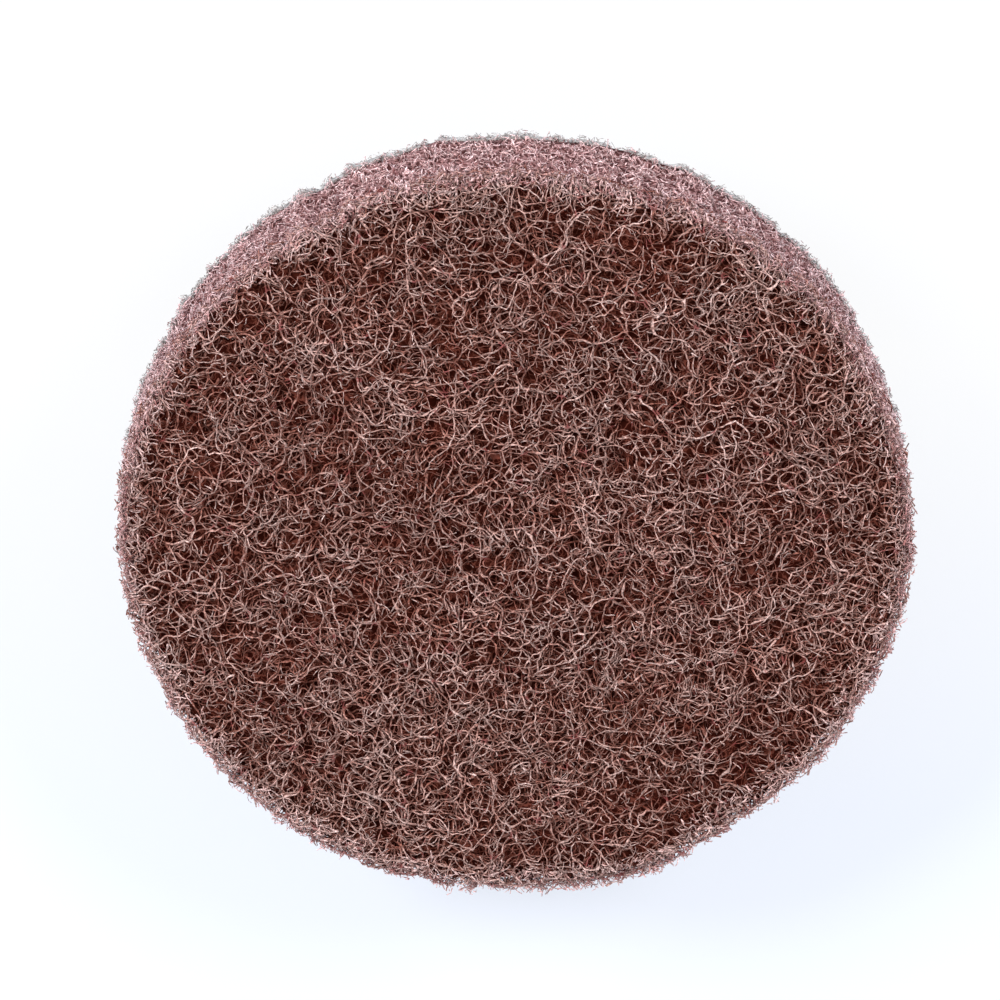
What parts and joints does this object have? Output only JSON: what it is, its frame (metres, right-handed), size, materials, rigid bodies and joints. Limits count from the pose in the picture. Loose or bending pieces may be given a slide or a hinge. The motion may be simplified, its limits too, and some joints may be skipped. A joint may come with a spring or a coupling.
{
  "type": "quick-change polishing disc",
  "caption": "Round pad of matted abrasive nylon fibre on a thin backing cloth, with a threaded quick-change hub on its back, for polishing with a small grinder.",
  "frame": {"origin": "centre of the flat end of the hub's threaded stub, which the disc rests on", "axes": "+Z along the spindle axis, from the stub's end towards the working face"},
  "size_m": [0.075, 0.075, 0.021],
  "materials": {
    "web": "matte",
    "backing": "matte",
    "hub": "satin"
  },
  "bodies": {
    "root": {"abrasive_web": "web", "backing_cloth": "backing", "quick_change_hub": "hub"}
  },
  "joints": []
}
